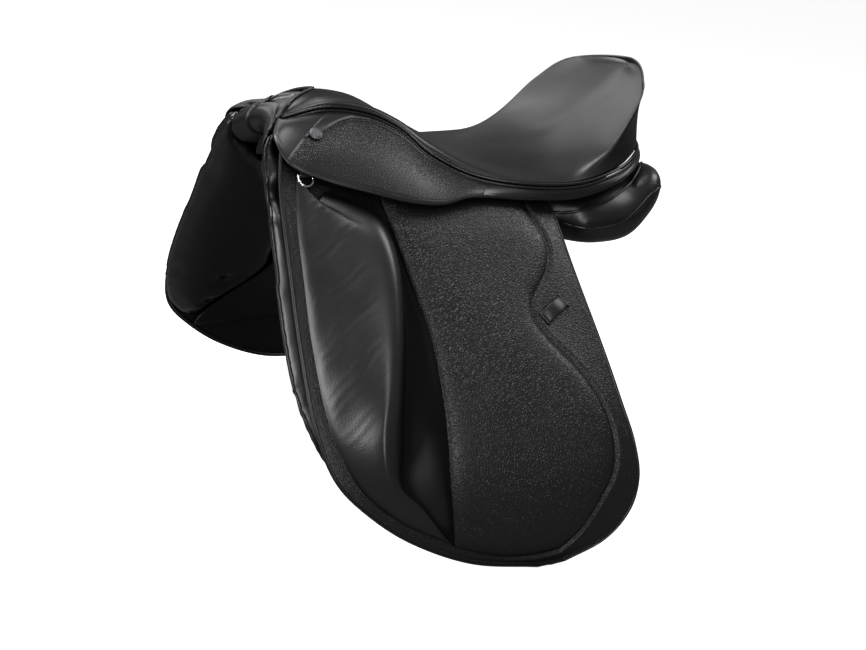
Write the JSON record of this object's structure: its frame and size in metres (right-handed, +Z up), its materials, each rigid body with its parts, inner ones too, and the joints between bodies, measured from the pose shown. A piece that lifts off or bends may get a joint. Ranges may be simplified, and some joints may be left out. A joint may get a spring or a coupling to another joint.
{
  "type": "english dressage saddle",
  "caption": "Deep-seated black leather dressage saddle with long straight flaps, external thigh blocks, flocked panels and stirrup bars.",
  "frame": {"origin": "on the centre plane, in the gullet under the deepest part of the seat, 60 mm below the seat leather", "axes": "+X forward to the pommel, +Y to the horse's left, +Z up"},
  "size_m": [0.5224, 0.6508, 0.4856],
  "materials": {
    "seat_leather": "soft smooth black seat leather, satin sheen",
    "flap_leather": "pebbled black leather, low satin sheen",
    "panel_leather": "smooth supple black panel leather, satin sheen",
    "edge_leather": "firm black bridle leather with burnished edges",
    "strap_leather": "firm black strap leather, waxed",
    "tree_wood": "laminated beech, dark varnish",
    "spring_steel": "blackened spring steel",
    "bar_steel": "forged stainless steel",
    "dee_steel": "polished nickel",
    "nail_metal": "black enamelled nail head",
    "webbing": "woven linen webbing",
    "foam": "seat foam under a cotton cover"
  },
  "bodies": {
    "saddle": {"tree_frame": "tree_wood", "head_plate": "spring_steel", "gullet_plate": "spring_steel", "tree_rivets": "spring_steel", "seat_webbing": "webbing", "seat_foam": "foam", "seat_cover": "seat_leather", "seat_welt": "seat_leather", "pommel_facing": "edge_leather", "rear_skirt": "seat_leather", "gullet_lining": "panel_leather", "skirt_root_left": "seat_leather", "saddle_nail_left": "nail_metal", "tree_point_left": "tree_wood", "stirrup_bar_left": "bar_steel", "catch_pin_left": "bar_steel", "dee_chape_left": "edge_leather", "flap_root_left": "flap_leather", "strap_web_left": "webbing", "strap_pins_left": "spring_steel", "sweat_flap_left": "edge_leather", "panel_left": "panel_leather", "fore_panel_left": "panel_leather", "panel_tufts_left": "panel_leather", "skirt_root_right": "seat_leather", "saddle_nail_right": "nail_metal", "tree_point_right": "tree_wood", "stirrup_bar_right": "bar_steel", "catch_pin_right": "bar_steel", "dee_chape_right": "edge_leather", "flap_root_right": "flap_leather", "strap_web_right": "webbing", "strap_pins_right": "spring_steel", "sweat_flap_right": "edge_leather", "panel_right": "panel_leather", "fore_panel_right": "panel_leather", "panel_tufts_right": "panel_leather"},
    "left_flap": {"flap_left": "flap_leather", "flap_pad_left": "flap_leather", "thigh_block_left": "flap_leather", "flap_keeper_left": "edge_leather"},
    "left_skirt": {"skirt_left": "seat_leather"},
    "left_catch": {"bar_catch_left": "bar_steel"},
    "left_dee": {"front_dee_left": "dee_steel"},
    "left_front_strap": {"front_strap_left": "strap_leather"},
    "left_rear_strap": {"rear_strap_left": "strap_leather"},
    "right_flap": {"flap_right": "flap_leather", "flap_pad_right": "flap_leather", "thigh_block_right": "flap_leather", "flap_keeper_right": "edge_leather"},
    "right_skirt": {"skirt_right": "seat_leather"},
    "right_catch": {"bar_catch_right": "bar_steel"},
    "right_dee": {"front_dee_right": "dee_steel"},
    "right_front_strap": {"front_strap_right": "strap_leather"},
    "right_rear_strap": {"rear_strap_right": "strap_leather"}
  },
  "joints": [
    {"name": "flap_lift_left", "type": "hinge", "parent": "saddle", "child": "left_flap", "pos_m": [0.07248, 0.11202, 0.02015], "axis": [0.9994, -0.0088, 0.0324], "range_deg": [0, 55]},
    {"name": "skirt_lift_left", "type": "hinge", "parent": "saddle", "child": "left_skirt", "pos_m": [0.10425, 0.09906, 0.0612], "axis": [0.9662, -0.1421, 0.2152], "range_deg": [0, 55]},
    {"name": "bar_catch_left", "type": "hinge", "parent": "saddle", "child": "left_catch", "pos_m": [0.10492, 0.097, 0.04327], "axis": [0, 1, 0], "range_deg": [0, 60]},
    {"name": "dee_swing_left", "type": "hinge", "parent": "saddle", "child": "left_dee", "pos_m": [0.21187, 0.09605, 0.05307], "axis": [1, 0, 0], "range_deg": [0, 35]},
    {"name": "front_strap_swing_left", "type": "hinge", "parent": "saddle", "child": "left_front_strap", "pos_m": [0.05192, 0.1273, -0.01446], "axis": [0.0086, 0.7494, 0.6621], "range_deg": [-5, 5]},
    {"name": "rear_strap_swing_left", "type": "hinge", "parent": "saddle", "child": "left_rear_strap", "pos_m": [-0.02808, 0.12851, -0.01478], "axis": [0.0082, 0.719, 0.695], "range_deg": [-5, 5]},
    {"name": "flap_lift_right", "type": "hinge", "parent": "saddle", "child": "right_flap", "pos_m": [0.07248, -0.11202, 0.02015], "axis": [-0.9994, -0.0088, -0.0324], "range_deg": [0, 55]},
    {"name": "skirt_lift_right", "type": "hinge", "parent": "saddle", "child": "right_skirt", "pos_m": [0.10425, -0.09906, 0.0612], "axis": [-0.9662, -0.1421, -0.2152], "range_deg": [0, 55]},
    {"name": "bar_catch_right", "type": "hinge", "parent": "saddle", "child": "right_catch", "pos_m": [0.10492, -0.097, 0.04327], "axis": [0, 1, 0], "range_deg": [0, 60]},
    {"name": "dee_swing_right", "type": "hinge", "parent": "saddle", "child": "right_dee", "pos_m": [0.21187, -0.09605, 0.05307], "axis": [-1, 0, 0], "range_deg": [0, 35]},
    {"name": "front_strap_swing_right", "type": "hinge", "parent": "saddle", "child": "right_front_strap", "pos_m": [0.05192, -0.1273, -0.01446], "axis": [0.0086, -0.7494, 0.6621], "range_deg": [-5, 5]},
    {"name": "rear_strap_swing_right", "type": "hinge", "parent": "saddle", "child": "right_rear_strap", "pos_m": [-0.02808, -0.12851, -0.01478], "axis": [0.0082, -0.719, 0.695], "range_deg": [-5, 5]}
  ],
  "couplings": [
    {"joint": "skirt_lift_left", "follows": "flap_lift_left", "ratio": 1},
    {"joint": "skirt_lift_right", "follows": "flap_lift_right", "ratio": 1}
  ]
}
